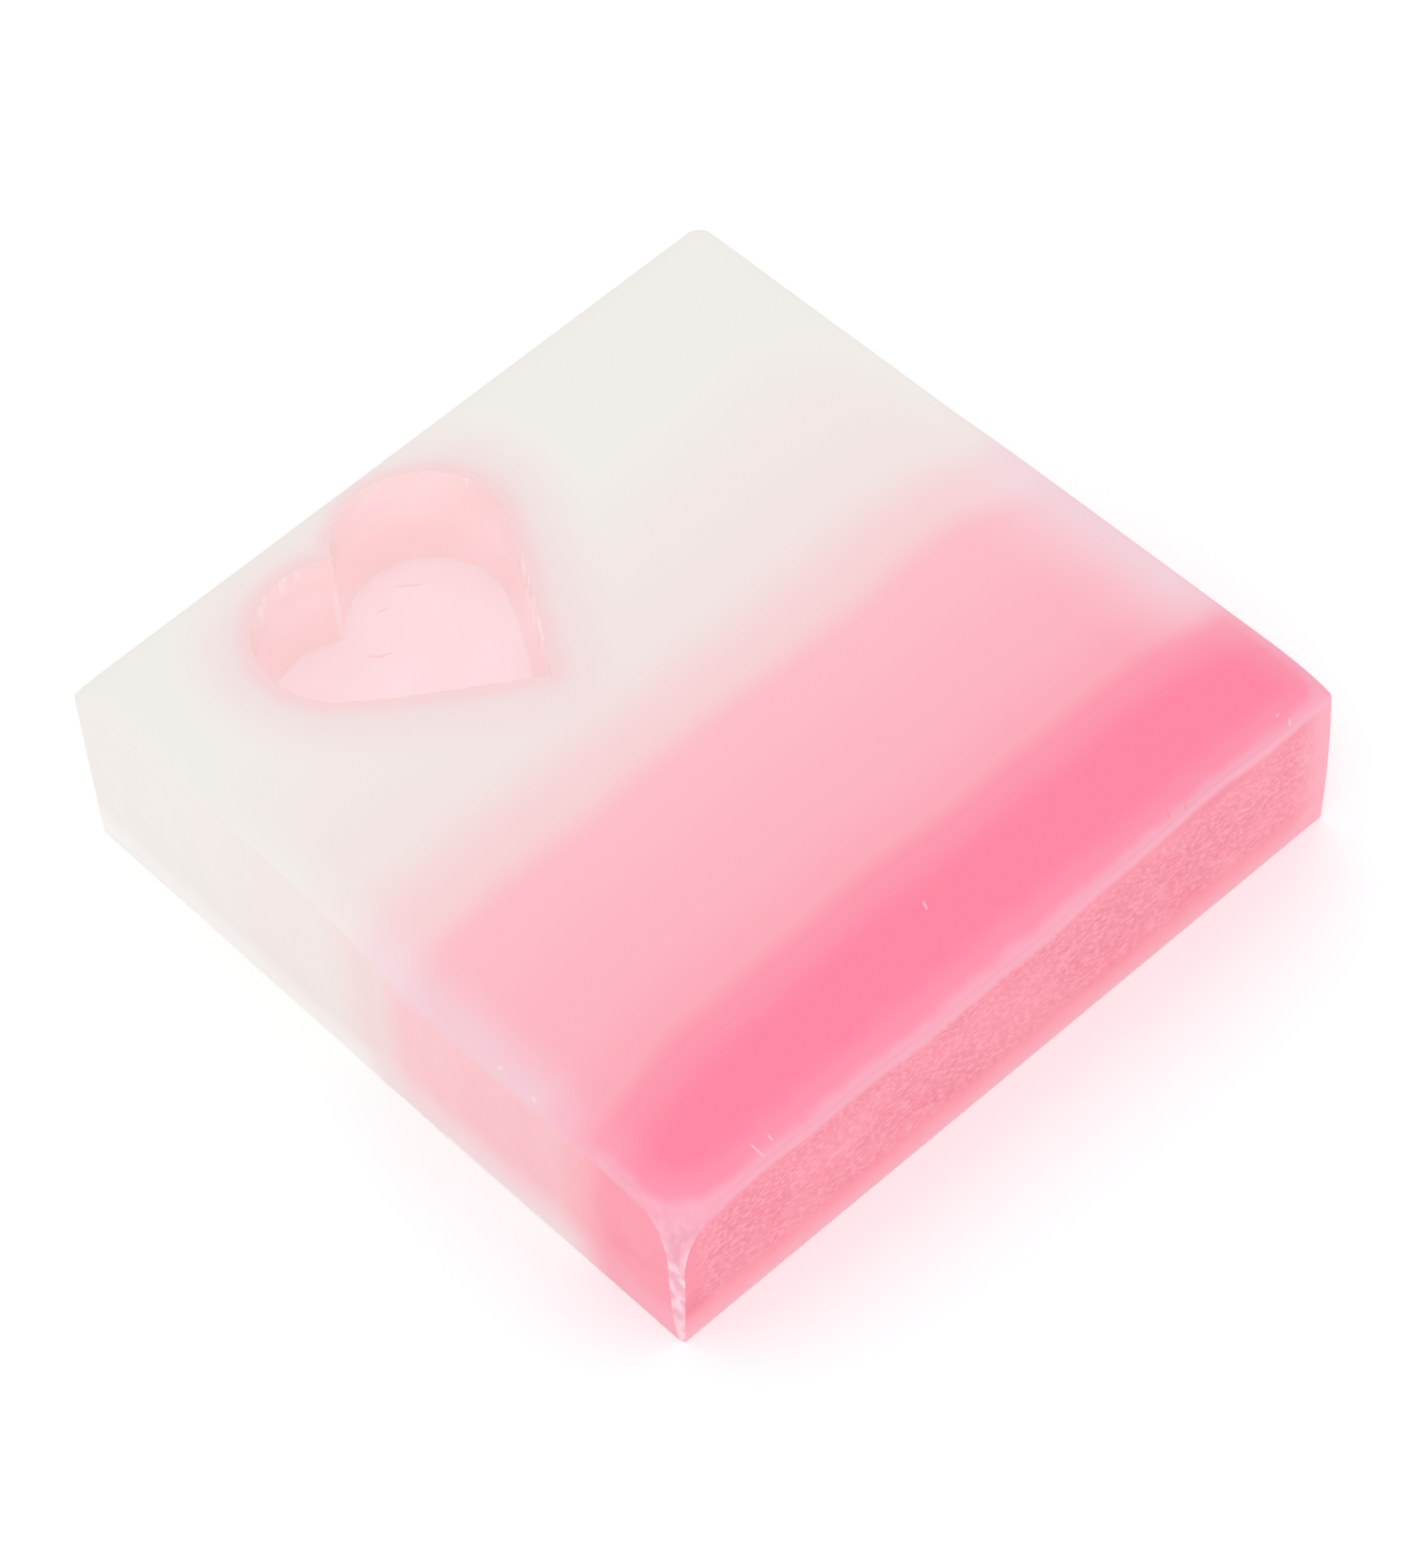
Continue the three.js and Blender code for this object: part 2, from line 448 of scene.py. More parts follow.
def soap_mesh(name, points, faces, join_lines=()):
    """A smooth piece on the slice's surface, with its painted distances.

    Points deep inside the slice are on the heart's wall, and stay where they are.
    """
    on_end = np.abs(points[:, 1] - deep_end) < 1e-6
    points = points.copy()
    points[:, 2] *= top_height(points) / thickness
    relief, field = np.zeros(len(points)), np.zeros(len(points))
    if on_end.any():
        relief[on_end], field[on_end] = end_grain(points[on_end])
    held = np.zeros(len(points), bool)
    for line in join_lines:
        held |= np.abs(points[:, 1] - line) < 1e-6
    in_passage = (points[:, 2] > 1e-6) & (outside(points) < -passage_depth)
    moved = pull_onto_slice(points, relief, held)
    moved[in_passage] = points[in_passage]
    mesh = bpy.data.meshes.new(name)
    mesh.from_pydata((moved * MM).tolist(), [], faces)
    mesh.update()
    for label, values in painted_distances(moved, relief, field).items():
        layer = mesh.attributes.new(label, "FLOAT", "POINT")
        layer.data.foreach_set("value", values.astype(np.float32))
    mesh.polygons.foreach_set("use_smooth", np.ones(len(mesh.polygons), bool))
    mesh.set_sharp_from_angle(angle=math.radians(crisp_angle))
    return mesh


def soap_piece(mesh, node):
    """Place a finished mesh, in place of its casting."""
    piece = bpy.data.objects.new(mesh.name, mesh)
    bpy.context.scene.collection.objects.link(piece)
    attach(piece, "root")
    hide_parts(node)
    print(mesh.name, "has", len(mesh.vertices), "vertices")
    return piece


# %% Deep pink and light pink pours
points, faces, _ = box_skin(across, up_deep, upward, False, True)
deep_mesh = soap_mesh("deep_pink_soap", points, faces, join_lines=(deep_join,))
deep_piece = soap_piece(deep_mesh, "deep_pink_layer")

points, faces, _ = box_skin(across, up_light, upward, True, True)
light_mesh = soap_mesh("light_pink_soap", points, faces, join_lines=(deep_join, white_join))
light_piece = soap_piece(light_mesh, "light_pink_layer")

# %% [markdown]
# ## The white pour and its passage
#
# The white pour has a heart-shaped passage from face to face. Its two cut faces are meshed
# as a net of triangles between the grid and the heart's outline, with a few rings round
# the outline, because the pink of the heart bleeds into the white over a few millimetres.
# The net is made with its rim bent outwards by a hair, so that no triangle is a mere line.
# The passage's wall stands a hair inside the heart's surface. The clear soap then reaches
# the wall everywhere, and light doesn't bounce off a film of air that isn't there.

# %% Nets and walls round the heart
heart_steps = 34
wall_rows = 24


def at_height(flat, z):
    """Flat points (x, y) as points (x, y, z)."""
    return np.c_[flat, np.full(len(flat), z)]


def net(spots, edges, z):
    """Triangles between the spots, and how far outside the heart each one's middle lies."""
    made = geometry.delaunay_2d_cdt([Vector(spot) for spot in spots], edges, [], 0, 1e-6)
    corners, triangles, origins = made[0], made[2], made[3]
    middles = np.array([np.mean([corners[i] for i in triangle], axis=0) for triangle in triangles])
    source = [origin[0] for origin in origins]
    gaps = heart_distance(at_height(middles, z))
    return [[source[i] for i in triangle] for triangle in triangles], gaps


def closed_line(first, count):
    """Edges that join `count` points, from number `first` on, into a closed line."""
    return [(first + i, first + (i + 1) % count) for i in range(count)]


def ring_wall(rows):
    """Faces between rings of points that lie above each other, seen from inside."""
    faces = []
    for lower, upper in zip(rows, rows[1:]):
        for i in range(len(lower)):
            after = (i + 1) % len(lower)
            faces.append([lower[i], lower[after], upper[after], upper[i]])
    return faces


# %% Cut face of the white pour
passage_fit = -0.04
ring_distances = (0.3, 0.65, 1.1, 1.7)
grid_from_heart = 2.2
ring_from_heart = 0.2
ring_from_rim = 0.25
rim_bulge = 0.05


def net_with_heart(lines_x, lines_y, z, rim_points):
    """Flat net of triangles at height z round the heart. Its points end with the heart."""
    loop = heart_section(z, heart_steps, passage_fit)
    grid = np.array([(x * half_width(y), y) for x in lines_x[1:-1] for y in lines_y[1:-1]])
    grid = grid[heart_distance(at_height(grid, z)) > grid_from_heart]
    ring = np.vstack([heart_section(z, heart_steps, away) for away in ring_distances])
    off_heart = heart_distance(at_height(ring, z)) > ring_from_heart
    off_rim = np.abs(white_end - ring[:, 1]) > ring_from_rim
    ring = ring[off_heart & off_rim]
    share_x = rim_points[:, 0] / half_width(rim_points[:, 1])
    share_y = 2 * (rim_points[:, 1] - white_join) / (white_end - white_join) - 1
    bulge = rim_bulge * np.c_[share_x * (1 - share_y ** 2), share_y * (1 - share_x ** 2)]
    inner = np.vstack([grid, ring, loop])
    spots = np.vstack([rim_points, inner])
    first = len(spots) - len(loop)
    edges = closed_line(first, len(loop)) + closed_line(0, len(rim_points))
    triangles, gaps = net(np.vstack([rim_points + bulge, inner]), edges, z)
    outer = [triangle for triangle, gap in zip(triangles, gaps) if gap >= passage_fit]
    return spots, outer, first


# %% White pour
def white_pour():
    """Grid box with both cut faces netted round the heart, and the passage between them."""
    points, faces, number = box_skin(across, up_white, upward, True, False, open_caps=True)
    points = list(map(tuple, points))
    last_x, last_y, last_z = len(across) - 1, len(up_white) - 1, len(upward) - 1
    rim_keys = [(i, 0) for i in range(last_x)] + [(last_x, j) for j in range(last_y)]
    rim_keys += [(i, last_y) for i in range(last_x, 0, -1)] + [(0, j) for j in range(last_y, 0, -1)]
    loops = {}
    for level, facing_up in ((last_z, True), (0, False)):
        z = upward[level] * thickness
        rim_ids = [number[(i, j, level)] for i, j in rim_keys]
        rim_points = np.array([points[i][:2] for i in rim_ids])
        spots, triangles, first = net_with_heart(across, up_white, z, rim_points)
        place = rim_ids + list(range(len(points), len(points) + len(spots) - len(rim_ids)))
        points += [(x, y, z) for x, y in spots[len(rim_ids):]]
        for triangle in triangles:
            corners = [place[i] for i in triangle]
            faces.append(corners if facing_up else corners[::-1])
        loops[level] = place[first:]
    low_loop, high_loop = (np.array([points[i] for i in loops[level]]) for level in (0, last_z))
    rows = [loops[0]]
    for row in range(1, wall_rows):
        ring = low_loop + row / wall_rows * (high_loop - low_loop)
        rows.append(list(range(len(points), len(points) + len(ring))))
        points += list(map(tuple, ring))
    rows.append(loops[last_z])
    return np.array(points), faces + ring_wall(rows)


points, faces = white_pour()
white_mesh = soap_mesh("white_soap", points, faces, join_lines=(white_join,))
white_piece = soap_piece(white_mesh, "white_layer")

# %% [markdown]
# ## The heart
#
# The heart is a solid rod of clear soap from one cut face to the other. It is a closed
# body, so that light bends where it enters, and the rod looks shallower than it is.

# %% Heart rod
rod_mesh_step = 0.6
rod_mesh_margin = 0.35


def heart_rod():
    """Closed rod: rings of points up the wall, and a net of triangles on each end."""
    points, rows = [], []
    for z in thickness * np.arange(wall_rows + 1) / wall_rows:
        ring = heart_section(z, heart_steps)
        rows.append(list(range(len(points), len(points) + len(ring))))
        points += [(x, y, z) for x, y in ring]
    faces = [corners[::-1] for corners in ring_wall(rows)]
    for z, row, facing_up in ((thickness, rows[-1], True), (0.0, rows[0], False)):
        loop = heart_section(z, heart_steps)
        low, high = loop.min(0), loop.max(0)
        grid = np.array([(x, y) for x in np.arange(low[0], high[0], rod_mesh_step)
                         for y in np.arange(low[1], high[1], rod_mesh_step)])
        grid = grid[heart_distance(at_height(grid, z)) < -rod_mesh_margin]
        triangles, gaps = net(np.vstack([loop, grid]), closed_line(0, len(loop)), z)
        place = row + list(range(len(points), len(points) + len(grid)))
        for triangle, gap in zip(triangles, gaps):
            corners = [place[i] for i in triangle]
            if gap < 0:
                faces.append(corners if facing_up else corners[::-1])
        points += [(x, y, z) for x, y in grid]
    return np.array(points), faces


points, faces = heart_rod()
heart_mesh = soap_mesh("heart_rod", points, faces)
heart_piece = soap_piece(heart_mesh, "heart_embed")

# %% [markdown]
# ## Soap colours
#
# Melted pours blend where they meet, so the colour of this soap depends on how far up the
# loaf a point lies. One ramp of colours along Y serves all three pours, and so the blends
# run across the joins without a break. The skin that touched the mould is a little paler
# and warmer than the cut face, and thin edges let light through and look paler still.
#
# A finish like this has many layers, and a node tree for it is long. Written node by node it
# would be hard to read, so a small helper class adds the nodes, and each layer is one call.

# %% Colours as a painter names them
def paint(red, green, blue):
    """A colour as a painter's 0 to 255 values, turned into the linear values of light."""
    linear = []
    for value in (red, green, blue):
        share = value / 255
        linear.append(share / 12.92 if share <= 0.04045 else ((share + 0.055) / 1.055) ** 2.4)
    return linear


print("a soap white in linear light:", [round(part, 3) for part in paint(242, 238, 234)])


# %% Node helper
class Nodes:
    """A short way to write a node tree: each call adds a node and returns an output."""

    def __init__(self, name):
        self.material = bpy.data.materials.new(name)
        self.material.use_nodes = True
        self.tree = self.material.node_tree
        self.tree.nodes.clear()
        self.where = self.node("ShaderNodeNewGeometry").outputs["Position"]
        axes = self.node("ShaderNodeSeparateXYZ")
        self.feed(axes.inputs[0], self.where)
        self.x, self.y, self.z = (self.times(axis, 1 / MM) for axis in axes.outputs)

    def node(self, kind, **settings):
        made = self.tree.nodes.new(kind)
        for key, value in settings.items():
            setattr(made, key, value)
        return made

    def feed(self, socket, value):
        if isinstance(value, bpy.types.NodeSocket):
            self.tree.links.new(value, socket)
        elif isinstance(value, (list, tuple)) and len(value) == 3 and socket.type == "RGBA":
            socket.default_value = (*value, 1)
        else:
            socket.default_value = value

    def painted(self, label):
        return self.node("ShaderNodeAttribute", attribute_name=label).outputs["Fac"]

    def reckon(self, operation, first, second=0.0):
        made = self.node("ShaderNodeMath", operation=operation)
        self.feed(made.inputs[0], first)
        self.feed(made.inputs[1], second)
        return made.outputs[0]

    def sum(self, first, second):
        return self.reckon("ADD", first, second)

    def minus(self, first, second):
        return self.reckon("SUBTRACT", first, second)

    def times(self, first, second):
        return self.reckon("MULTIPLY", first, second)

    def larger(self, first, second):
        return self.reckon("MAXIMUM", first, second)

    def unsigned(self, value):
        return self.reckon("ABSOLUTE", value)

    def fade(self, value, start, end, low=0.0, high=1.0):
        made = self.node("ShaderNodeMapRange", interpolation_type="SMOOTHSTEP")
        for socket, number in zip(made.inputs, (value, start, end, low, high)):
            self.feed(socket, number)
        return made.outputs[0]

    def blend(self, share, first, second, mode="MIX"):
        made = self.node("ShaderNodeMix", data_type="RGBA", blend_type=mode)
        self.feed(made.inputs[0], share)
        self.feed(made.inputs[6], first)
        self.feed(made.inputs[7], second)
        return made.outputs[2]

    def layer(self, colour, paint_over, *masks):
        """Lay another colour over this one, as strongly as all the masks together."""
        share = masks[0]
        for mask in masks[1:]:
            share = self.times(share, mask)
        return self.blend(share, colour, paint_over)


# %% [markdown]
# ## Clouds, scratches and bands of colour
#
# Three kinds of pattern are enough for soap. A cloud is soft noise, and it makes patches,
# fibres and streaks. A scratch is placed one by one from a list, because noise that is
# thinned to a few lines looks like hair. A ramp sets colours along one direction, such as up the loaf.

# %% Patterns
class Shader(Nodes):
    """The node helper with the patterns of soap."""

    def cloud(self, size, detail=2.0, stretch=(1, 1, 1), roughness=0.5):
        """Soft noise from 0 to 1 with spots of about `size` mm."""
        scaled = self.node("ShaderNodeVectorMath", operation="MULTIPLY")
        self.feed(scaled.inputs[0], self.where)
        scaled.inputs[1].default_value = [part / (size * MM) for part in stretch]
        made = self.node("ShaderNodeTexNoise")
        self.feed(made.inputs["Vector"], scaled.outputs[0])
        made.inputs["Scale"].default_value = 1.0
        made.inputs["Detail"].default_value = detail
        made.inputs["Roughness"].default_value = roughness
        return made.outputs["Fac"]

    def stroke(self, x, y, length, width, degrees):
        """A short scratch, seen from above: 1 along its middle, 0 beyond its outline."""
        cosine, sine = math.cos(math.radians(degrees)), math.sin(math.radians(degrees))
        from_x, from_y = self.sum(self.x, -x), self.sum(self.y, -y)
        along = self.sum(self.times(from_x, cosine), self.times(from_y, sine))
        across = self.sum(self.times(from_y, cosine), self.times(from_x, -sine))
        wander = self.times(self.minus(self.cloud(1.5, 1), 0.5), 0.6)
        off_line = self.unsigned(self.sum(across, wander))
        ends = self.fade(self.unsigned(along), length / 2, length / 4)
        return self.times(self.fade(off_line, width, 0.3 * width), ends)

    def strokes(self, scratches):
        """Several scratches together."""
        share = 0.0
        for scratch in scratches:
            share = self.larger(self.stroke(*scratch), share)
        return share

    def ramp(self, value, low, high, stops):
        """Colours at places between low and high, blended softly."""
        made = self.node("ShaderNodeValToRGB")
        band = made.color_ramp
        band.interpolation = "EASE"
        while len(band.elements) < len(stops):
            band.elements.new(0.5)
        for element, (place, colour) in zip(band.elements, sorted(stops, key=lambda stop: stop[0])):
            element.position = (place - low) / (high - low)
            element.color = (*colour, 1)
        span = self.node("ShaderNodeMapRange")
        for socket, number in zip(span.inputs, (value, low, high, 0.0, 1.0)):
            self.feed(socket, number)
        self.feed(made.inputs[0], span.outputs[0])
        return made.outputs["Color"]


# %% [markdown]
# ## Soap of the three pours
#
# The stage is lit a little brighter than white, so that the floor turns pure white. A
# satin surface also adds some white gloss to whatever colour lies under it. The colours
# below are the ones to be seen, so the helper takes both off before they are used.
# The finish is then built up in the order of the real slice: first the pours, then the
# wrinkled end with painted highlights on its fibres, the thin pale edges, the planed crests
# with their painted highlights and a few scratches, and last the pink round the heart and the
# passage's lining with its painted highlights.

# %% Colours of the pours
high_key = 1.15
surface_gloss = 0.03
join_curl = 2.0


def soap_paint(red, green, blue):
    """A colour to be seen on satin soap, without its gloss and the strength of the light."""
    return [(part / high_key - surface_gloss) / (1 - surface_gloss) for part in paint(red, green, blue)]


def pour_stops(white, blush, blend, pale, full, deepening, turn, deep):
    """Where the colours of the pours lie along the loaf, in mm from the joins."""
    return [
        (white_join + 26, white), (white_join + 7, blush), (white_join - 0.5, blend),
        (white_join - 5, pale), (deep_join + 7, full), (deep_join + 2, deepening),
        (deep_join - 0.5, turn), (deep_join - 5, deep),
    ]


cut_face = pour_stops(
    soap_paint(242, 238, 234), soap_paint(243, 230, 228), soap_paint(249, 212, 215),
    soap_paint(254, 190, 200), soap_paint(254, 181, 193), soap_paint(253, 172, 186),
    soap_paint(254, 153, 174), soap_paint(255, 136, 163))
mould_skin = pour_stops(
    soap_paint(240, 234, 230), soap_paint(239, 229, 226), soap_paint(242, 216, 216),
    soap_paint(248, 198, 203), soap_paint(247, 191, 198), soap_paint(246, 190, 196),
    soap_paint(248, 178, 188), soap_paint(249, 153, 171))
print("deepest pink in linear light:", [round(part, 3) for part in cut_face[-1][1]])


# %% Place in the slice
class SoapShader(Shader):
    """A shader that knows its place in the slice, in mm, and which face it is on."""

    def __init__(self, name):
        super().__init__(name)
        self.on_wall = self.painted("on_wall")
        self.on_end = self.painted("on_end")
        self.upright = self.larger(self.on_wall, self.on_end)
        self.flat = self.minus(1.0, self.upright)
        self.pink = self.fade(self.y, white_join + 3, white_join - 2)
        self.first_end = self.times(self.on_end, self.fade(self.y, -10, 10, 1.0, 0.0))


print("the finish changes from pink to white about y =", round(white_join, 1), "mm")

# %% [markdown]
# ### Pours and wrinkled end
#
# The colours follow the height in the loaf, and a slow cloud bends their borders a little.
# The deep pink end keeps the print of the mould's lining: fibres over a deeper pink, whose
# crests are painted pale as highlights. The painted highlights use the same field as the
# relief of the mesh, so the two fade out together.

# %% Poured colour and fibres
def poured_colour(s):
    """The blend along the loaf. On the cut face the pours dip towards both sides."""
    by_west = s.fade(s.x, 14 - deep_half, -deep_half)
    by_east = s.fade(s.x, deep_half - 10, deep_half)
    curl = s.sum(s.times(by_west, s.fade(s.y, deep_join, white_join, 1.6 * join_curl, 0.5 * join_curl)),
                 s.times(by_east, s.fade(s.y, deep_join, white_join, join_curl, 1.6 * join_curl)))
    drift = s.times(s.minus(s.cloud(17, 1), 0.5), 2.2)
    height = s.sum(s.sum(s.y, curl), drift)
    return s.blend(s.on_wall, s.ramp(height, deep_end, white_end, cut_face),
                   s.ramp(s.y, deep_end, white_end, mould_skin))


def fibre_noise(s):
    """Short wavy fibres, about a millimetre long, that lie across the loaf."""
    return s.cloud(0.27, 3, (0.45, 1, 1), 0.6)


def wrinkled_end(s, colour):
    """Fibres painted pale as highlights over a deeper pink, with larger clouds, on the deep pink end."""
    # painted highlights: the crests of the fibres are painted pale
    fibre_relief_and_highlight = s.fade(fibre_noise(s), 0.42, 0.64)
    fibre_relief_and_highlight = s.times(fibre_relief_and_highlight, s.sum(s.times(s.painted("grain_field"), 0.8), 0.2))
    clouds = s.fade(s.cloud(6, 2, (0.6, 1, 1)), 0.35, 0.65)
    under = s.blend(clouds, soap_paint(239, 136, 155), soap_paint(246, 146, 164))
    highlighted_fibres = s.layer(under, soap_paint(254, 172, 188), fibre_relief_and_highlight, 0.8)
    low = s.ramp(s.z, 0, 5, [
        (0.3, soap_paint(247, 182, 196)), (1.2, soap_paint(248, 175, 190)),
        (2.2, soap_paint(250, 164, 179)), (3.4, soap_paint(250, 156, 173)),
        (5, soap_paint(247, 151, 168))])
    highlighted_fibres = s.layer(highlighted_fibres, low, s.fade(s.z, 4.8, 2.6))
    highlighted_fibres = s.layer(highlighted_fibres, soap_paint(251, 178, 193), s.fade(s.painted("from_east"), 5.0, 0.6), 0.75)
    return s.layer(colour, highlighted_fibres, s.first_end)


# %% [markdown]
# ### Thin edges
#
# Soap lets a little light through, and where the slice is thin, at its rims and along its
# lower edge, that makes it paler. Real scattering inside the soap would do it too, but it is
# slow and hard to steer, so the pale rims are painted by their distance from the edges.

# %% Pale edges
def pale_edges(s, colour):
    """Thin edges let light through: they are paler, and a little lavender on the cut."""
    ragged = s.times(s.minus(s.cloud(2.4, 3), 0.5), 1.2)
    rim_colour = s.ramp(s.y, deep_end, white_end, [
        (deep_end + 6, soap_paint(245, 176, 195)), (deep_join - 2, soap_paint(248, 178, 194)),
        (deep_join + 1, soap_paint(247, 188, 203)),
        (deep_join + 5, soap_paint(242, 203, 213)), (white_join - 8, soap_paint(242, 205, 214)),
        (white_join - 1, soap_paint(242, 217, 223)), (white_join + 4, soap_paint(243, 232, 230)),
        (white_join + 11, soap_paint(242, 238, 234))])
    light_part = s.fade(s.y, deep_join - 3.0, deep_join + 2.5)
    light_wall = s.fade(s.y, deep_join - 4.5, deep_join + 2.0)
    low_colour = s.blend(light_wall, soap_paint(249, 178, 194), soap_paint(243, 226, 229))
    low_edge = s.times(s.fade(s.z, 7.0, 0.0), s.on_wall)
    colour = s.layer(colour, low_colour, low_edge, s.pink, 0.85)
    low_white = s.times(s.fade(s.z, 5.0, 0.5), s.minus(1.0, s.pink))
    colour = s.layer(colour, soap_paint(248, 245, 242), low_white, s.upright, 0.8)
    inside = s.sum(s.painted("from_side"), ragged)
    wide = s.fade(light_part, 0.0, 1.0, 0.3, 0.62)
    wide_reach = s.fade(light_part, 0.0, 1.0, 4.4, 5.2)
    narrow_reach = s.fade(light_part, 0.0, 1.0, 1.3, 2.6)
    colour = s.layer(colour, rim_colour, s.fade(inside, wide_reach, 0.8), s.flat, wide)
    colour = s.layer(colour, rim_colour, s.fade(inside, narrow_reach, 0.2), s.flat, 0.75)
    under_crest = s.sum(s.painted("below_top"), s.times(ragged, 0.5))
    strip = s.fade(light_part, 0.0, 1.0, 0.8, 0.6)
    colour = s.layer(colour, rim_colour, s.fade(under_crest, 1.7, 0.5), s.upright, s.pink, strip)
    east = s.fade(s.painted("from_east"), 10.0, 0.5)
    return s.layer(colour, soap_paint(246, 220, 227), east, s.flat, light_part, s.pink, 0.5)


# %% [markdown]
# ### Planed crests with painted highlights, and scratches
#
# Where two planed faces meet, the crest catches the light in a thin bright line, which is
# painted here as a highlight, and the long sliver at the front corner has a scraped facet
# between two such painted highlights. The highlights are broken up by a cloud, because a
# blade never bites evenly. Nails and neighbours left a few short scratches.

# %% Crests and scratches
def facet_and_crest_highlights(s, colour):
    """The sliver's scraped facet with painted highlights along its borders, and a faint painted highlight
    along the other crests.
    """
    from_wall, from_end = s.painted("chip_on_wall"), s.painted("chip_on_end")
    scraped = s.fade(s.cloud(0.7, 3, (1, 1, 0.25)), 0.35, 0.65)
    facet_colour = s.blend(scraped, soap_paint(238, 164, 184), soap_paint(246, 180, 198))
    facet = s.times(s.fade(from_wall, -0.02, 0.08), s.fade(from_end, -0.08, -0.02))
    colour = s.layer(colour, facet_colour, facet, s.fade(s.z, thickness - 1.5, thickness - 4.0), 0.9)
    broken_highlight = s.fade(s.cloud(1.8, 3), 0.42, 0.6, 0.1, 1.0)
    # painted highlight: a faint bright line along the planed crests of the pink part
    crest = s.fade(s.painted("crest"), 0.2, 0.04)
    colour = s.layer(colour, soap_paint(252, 214, 226), crest, broken_highlight, s.pink, s.flat, 0.3)
    # painted highlights along both borders of the sliver's facet
    wall_line = s.fade(s.unsigned(from_wall), 0.13, 0.03)
    end_line = s.fade(s.unsigned(from_end), 0.14, 0.05)
    both_lines = s.larger(s.times(wall_line, s.fade(from_end, -0.08, -0.02)), end_line)
    border_highlights = s.times(both_lines, s.fade(from_wall, -0.14, -0.1))
    return s.layer(colour, soap_paint(253, 216, 226), border_highlights, broken_highlight,
                   s.fade(s.z, thickness - 4, thickness - 7), 0.8)


def handling_marks(s, colour):
    """A few short scratches by the planed crests: pale ones, and two dark ones."""
    pale = s.strokes([
        (-28.5, -37.3, 1.5, 0.12, 95), (-26.9, -37.2, 0.7, 0.1, 80), (32.9, -36.8, 0.5, 0.12, 0),
        (33.3, -38.1, 0.9, 0.12, 40), (-37.8, -7.1, 0.9, 0.16, 70), (-37.5, -16.1, 0.7, 0.16, 100),
        (-37.6, -20.3, 0.8, 0.14, 60), (-2.05, -29.95, 1.1, 0.18, 73)])
    colour = s.layer(colour, soap_paint(255, 222, 231), pale, s.flat, 0.5)
    dark = s.strokes([(18.9, -37.5, 0.7, 0.14, 60), (20.6, -38.1, 0.7, 0.14, 30)])
    return s.layer(colour, soap_paint(222, 146, 166), dark, s.flat, 0.5)


# %% [markdown]
# ### Pink round the heart
#
# Dye creeps from the heart into the white soap, so a pink haze surrounds it and fades out
# over a few millimetres. The haze has a wide part and a narrow part, because one soft edge
# alone looks airbrushed. The wall of the passage is painted here too: it is what one sees
# through the clear soap, pale below and deeper pink towards the cut face, with painted
# highlights on streaks in its upper part, on the left flank and on the ridge at the cleft.

# %% Halo and lining
def heart_halo(s, colour):
    """The pink of the heart creeps into the white round it, and lines its passage, where highlights are
    painted on the lining.
    """
    creep = s.sum(s.painted("from_heart"), s.times(s.cloud(3.0, 2), 1.2))
    white_part = s.times(s.fade(s.y, white_join, white_join + 4), s.fade(s.upright, 0.0, 1.0, 1.0, 0.2))
    thin_soap = s.fade(s.y, white_end, white_end - 5, 0.4, 1.0)
    colour = s.layer(colour, soap_paint(244, 221, 223), s.fade(creep, 8.0, 1.2), white_part, thin_soap, 0.8)
    colour = s.layer(colour, soap_paint(248, 211, 214), s.fade(creep, 2.8, 0.3), white_part, thin_soap, 0.8)
    by_heart = s.fade(s.painted("from_heart"), 1.6, 0.0)
    colour = s.layer(colour, soap_paint(249, 214, 216), by_heart, white_part, 0.65)
    lining = s.ramp(s.z, 0, thickness, [
        (0, paint(255, 236, 235)), (0.5 * thickness, paint(255, 232, 232)),
        (0.8 * thickness, paint(247, 220, 218)), (thickness, paint(238, 214, 211))])
    # painted highlights: pale streaks up the upper part of the passage's wall
    streak_highlights = s.fade(s.cloud(0.9, 3, (1, 1, 0.12)), 0.58, 0.72)
    lining = s.layer(lining, paint(255, 246, 244), streak_highlights, s.fade(s.z, 0.4 * thickness, thickness), 0.5)
    # painted highlights on the left flank of the passage's wall
    flank = s.times(s.fade(s.x, -8.0, -5.0), s.fade(s.y, 25.0, 21.0))
    flank_highlights = s.times(s.fade(s.cloud(0.6, 2, (1, 1, 0.15)), 0.46, 0.6), flank)
    lining = s.layer(lining, paint(255, 252, 248), flank_highlights, s.fade(s.z, 10.0, 14.0), 0.8)
    # painted highlight on the ridge of the wall at the heart's cleft
    cleft = heart_section(0.5 * thickness, 20)[0]
    ridge_highlight = s.stroke(cleft[0], cleft[1], 1.6, 0.5, 101.5)
    lining = s.layer(lining, paint(255, 250, 248), ridge_highlight, s.fade(s.z, 14.0, 8.0), 0.8)
    return s.layer(colour, lining, s.fade(s.painted("from_heart"), -0.005, -0.03))


# %% [markdown]
# ### Finish of a pour
#
# Cut soap is satin: it shines softly, more in some patches than in others. The wrinkled
# end gets its finest fibres as bump, since they are too small to be worth meshing.

